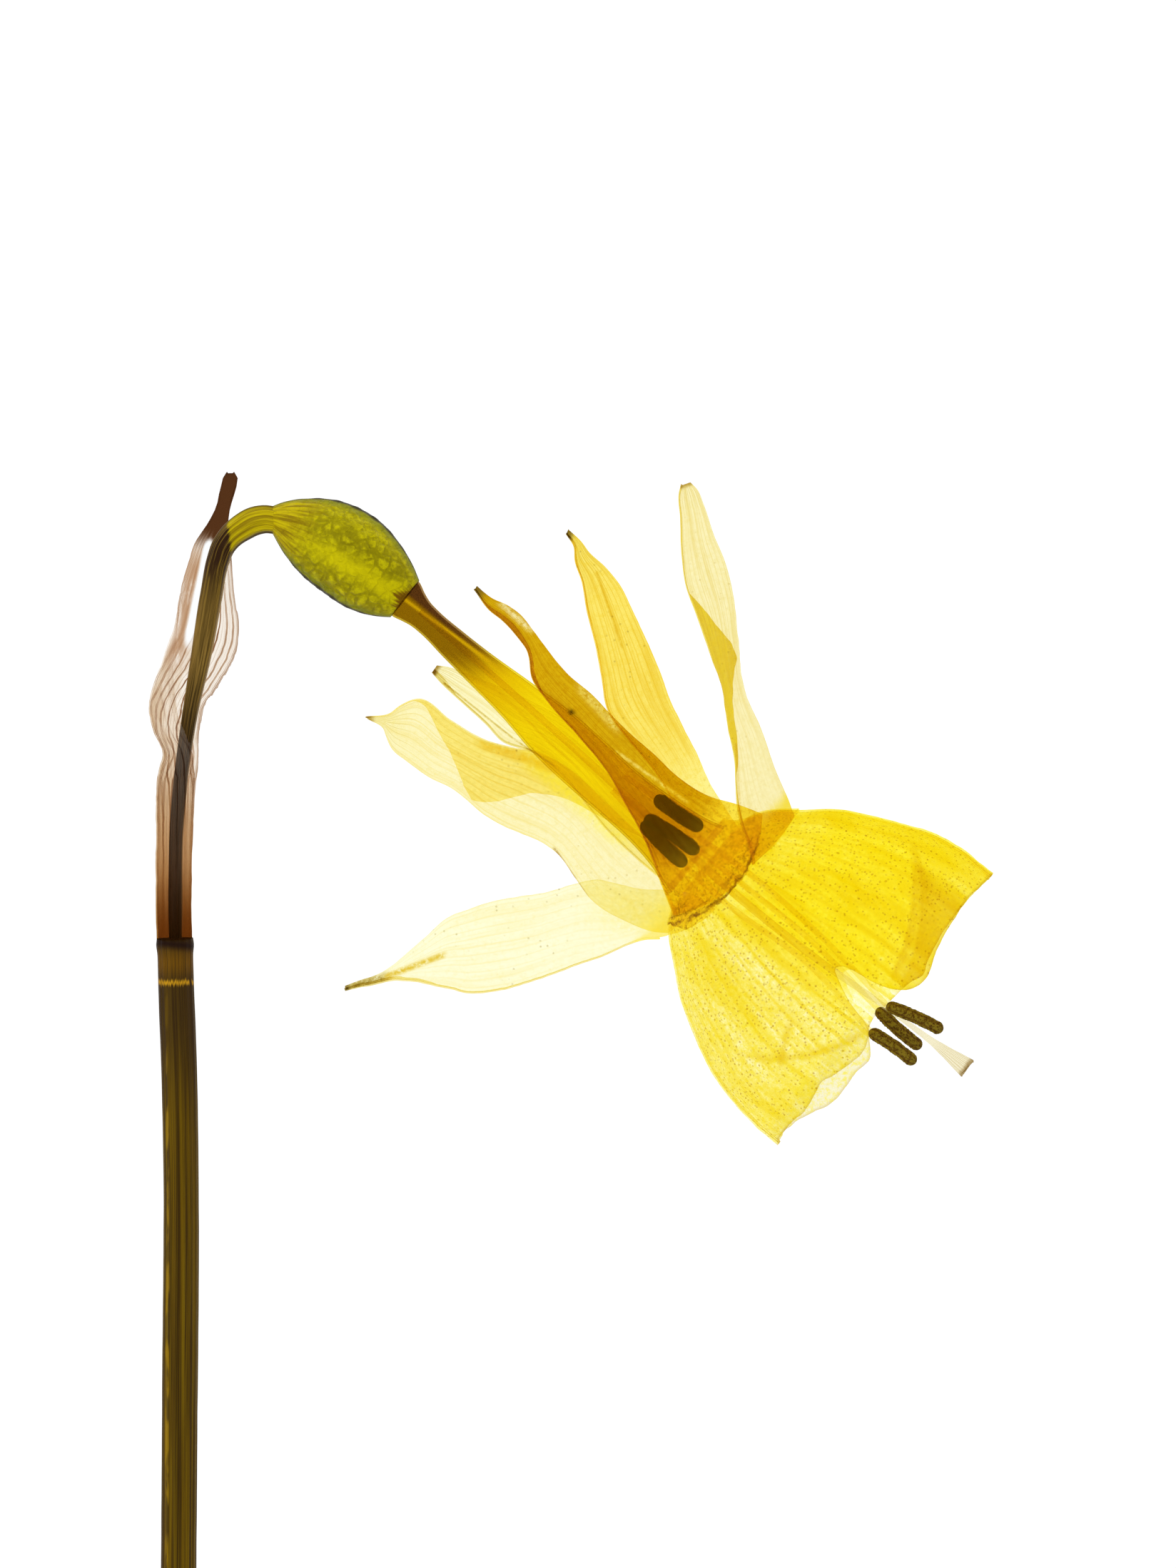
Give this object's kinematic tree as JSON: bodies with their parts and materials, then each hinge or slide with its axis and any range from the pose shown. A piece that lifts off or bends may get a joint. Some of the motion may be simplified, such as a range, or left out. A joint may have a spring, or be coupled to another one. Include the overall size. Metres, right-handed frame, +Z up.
{
  "type": "daffodil flower",
  "caption": "Cut daffodil stem lying down, with dry papery spathe, nodding bloom, slender tube, swept-back petals and open corona.",
  "frame": {"origin": "centre of the footprint, on the surface that the flower lies on", "axes": "+Y along the stem from its cut end to the spathe's tip, +X towards the bloom, +Z up from the surface"},
  "size_m": [0.0716, 0.101, 0.0195],
  "materials": {
    "stem": "satin",
    "spathe": "matte",
    "pedicel": "satin",
    "ovary": "satin",
    "tube": "satin",
    "corona": "satin",
    "petals": "satin",
    "filaments": "satin",
    "anthers": "matte",
    "style": "satin"
  },
  "bodies": {
    "root": {"stem": "stem", "spathe": "spathe", "pedicel": "pedicel", "ovary": "ovary", "floral_tube": "tube", "corona": "corona", "petal_1": "petals", "petal_2": "petals", "petal_3": "petals", "petal_4": "petals", "petal_5": "petals", "petal_6": "petals", "filament_1": "filaments", "filament_2": "filaments", "filament_3": "filaments", "filament_4": "filaments", "filament_5": "filaments", "filament_6": "filaments", "anther_1": "anthers", "anther_2": "anthers", "anther_3": "anthers", "anther_4": "anthers", "anther_5": "anthers", "anther_6": "anthers", "style": "style"}
  },
  "joints": []
}
